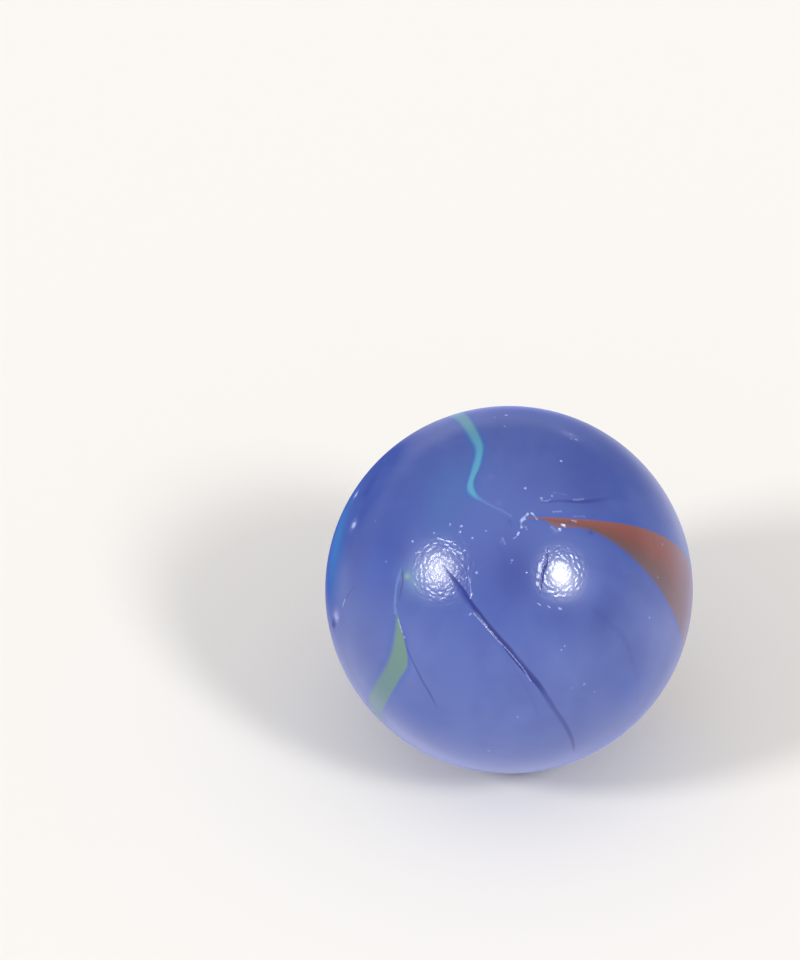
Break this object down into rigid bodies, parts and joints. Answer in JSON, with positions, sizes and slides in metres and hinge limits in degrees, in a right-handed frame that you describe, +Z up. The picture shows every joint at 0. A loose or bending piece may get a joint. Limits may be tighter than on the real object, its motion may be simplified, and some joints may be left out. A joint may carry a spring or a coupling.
{
  "type": "glass marble",
  "caption": "Solid glass marble with coloured ribbons fused flush into cloudy blue glass, for play, sorting, rolling and ball-run use.",
  "frame": {"origin": "centre of the ball", "axes": "+Z up as the ball lies; -Y towards the viewer; the cut-off pole leans 26 degrees from +Z towards -Y, 8 degrees round towards +X"},
  "size_m": [0.016, 0.016, 0.016],
  "materials": {
    "ribboned_glass": "glossy, cloudy blue glass with red, teal and green ribbons in the skin"
  },
  "bodies": {
    "root": {"marble": "ribboned_glass"}
  },
  "joints": []
}
